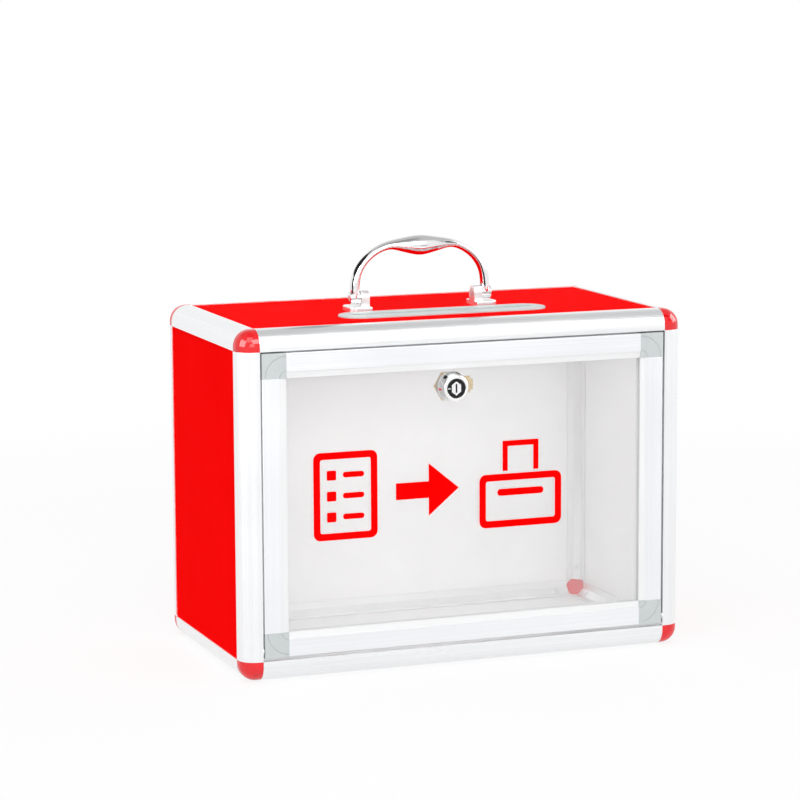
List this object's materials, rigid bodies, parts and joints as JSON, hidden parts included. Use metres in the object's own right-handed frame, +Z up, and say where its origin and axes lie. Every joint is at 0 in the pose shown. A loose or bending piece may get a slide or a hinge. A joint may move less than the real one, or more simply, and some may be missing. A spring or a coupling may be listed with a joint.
{
  "type": "ballot box",
  "caption": "Portable ballot box with silver edge rails, red panels and corner caps, a clear front door that folds down, a cam lock, a top slot and a folding handle.",
  "frame": {"origin": "middle of the whole footprint, lock front included, on the plane that the bottom rails stand on", "axes": "+X to the right along the front, +Y from the door to the back, +Z up"},
  "size_m": [0.34, 0.1864, 0.3031],
  "materials": {
    "silver_aluminium": "satin anodised extrusion",
    "red_gloss_plastic": "glossy moulded plastic",
    "red_panel": "red outside, pale inside, smooth sheet",
    "grey_plastic": "satin moulded plastic",
    "chrome": "polished plating",
    "steel": "bright zinc plating",
    "brass": "plain turned brass",
    "black_plastic": "satin black",
    "clear_acrylic": "clear polished sheet"
  },
  "bodies": {
    "case": {"left_front_post": "silver_aluminium", "right_front_post": "silver_aluminium", "bottom_front_rail": "silver_aluminium", "top_front_rail": "silver_aluminium", "left_back_post": "silver_aluminium", "right_back_post": "silver_aluminium", "bottom_back_rail": "silver_aluminium", "top_back_rail": "silver_aluminium", "left_bottom_rail": "silver_aluminium", "right_bottom_rail": "silver_aluminium", "left_top_rail": "silver_aluminium", "right_top_rail": "silver_aluminium", "left_front_bottom_cap": "red_gloss_plastic", "left_front_top_cap": "red_gloss_plastic", "left_back_bottom_cap": "red_gloss_plastic", "left_back_top_cap": "red_gloss_plastic", "right_front_bottom_cap": "red_gloss_plastic", "right_front_top_cap": "red_gloss_plastic", "right_back_bottom_cap": "red_gloss_plastic", "right_back_top_cap": "red_gloss_plastic", "left_panel": "red_panel", "right_panel": "red_panel", "back_panel": "red_panel", "bottom_panel": "red_panel", "top_panel": "red_panel", "slot_trim": "grey_plastic", "corner_rivets": "steel", "left_handle_bracket": "chrome", "right_handle_bracket": "chrome", "bracket_screws": "steel", "left_handle_pin": "steel", "right_handle_pin": "steel", "left_door_pin": "steel", "right_door_pin": "steel"},
    "door": {"door_left_bar": "silver_aluminium", "door_right_bar": "silver_aluminium", "door_bottom_bar": "silver_aluminium", "door_top_bar": "silver_aluminium", "door_left_bottom_block": "grey_plastic", "door_left_top_block": "grey_plastic", "door_right_bottom_block": "grey_plastic", "door_right_top_block": "grey_plastic", "door_pane": "clear_acrylic", "lock_housing": "chrome", "lock_washer": "steel", "lock_nut": "brass"},
    "lock_rotor": {"lock_plug": "chrome", "lock_dial": "black_plastic", "lock_cam": "brass", "lock_cam_screw": "steel"},
    "carry_handle": {"handle": "chrome"}
  },
  "joints": [
    {"name": "door_swing", "type": "hinge", "parent": "case", "child": "door", "pos_m": [0, -0.08275, 0.0215], "axis": [1, 0, 0], "range_deg": [0, 90]},
    {"name": "lock_turn", "type": "hinge", "parent": "door", "child": "lock_rotor", "pos_m": [-0.011, -0.08425, 0.2025], "axis": [0, -1, 0], "range_deg": [0, 90]},
    {"name": "handle_fold", "type": "hinge", "parent": "case", "child": "carry_handle", "pos_m": [0, 0.00325, 0.2585], "axis": [1, 0, 0], "range_deg": [-85, 85]}
  ]
}
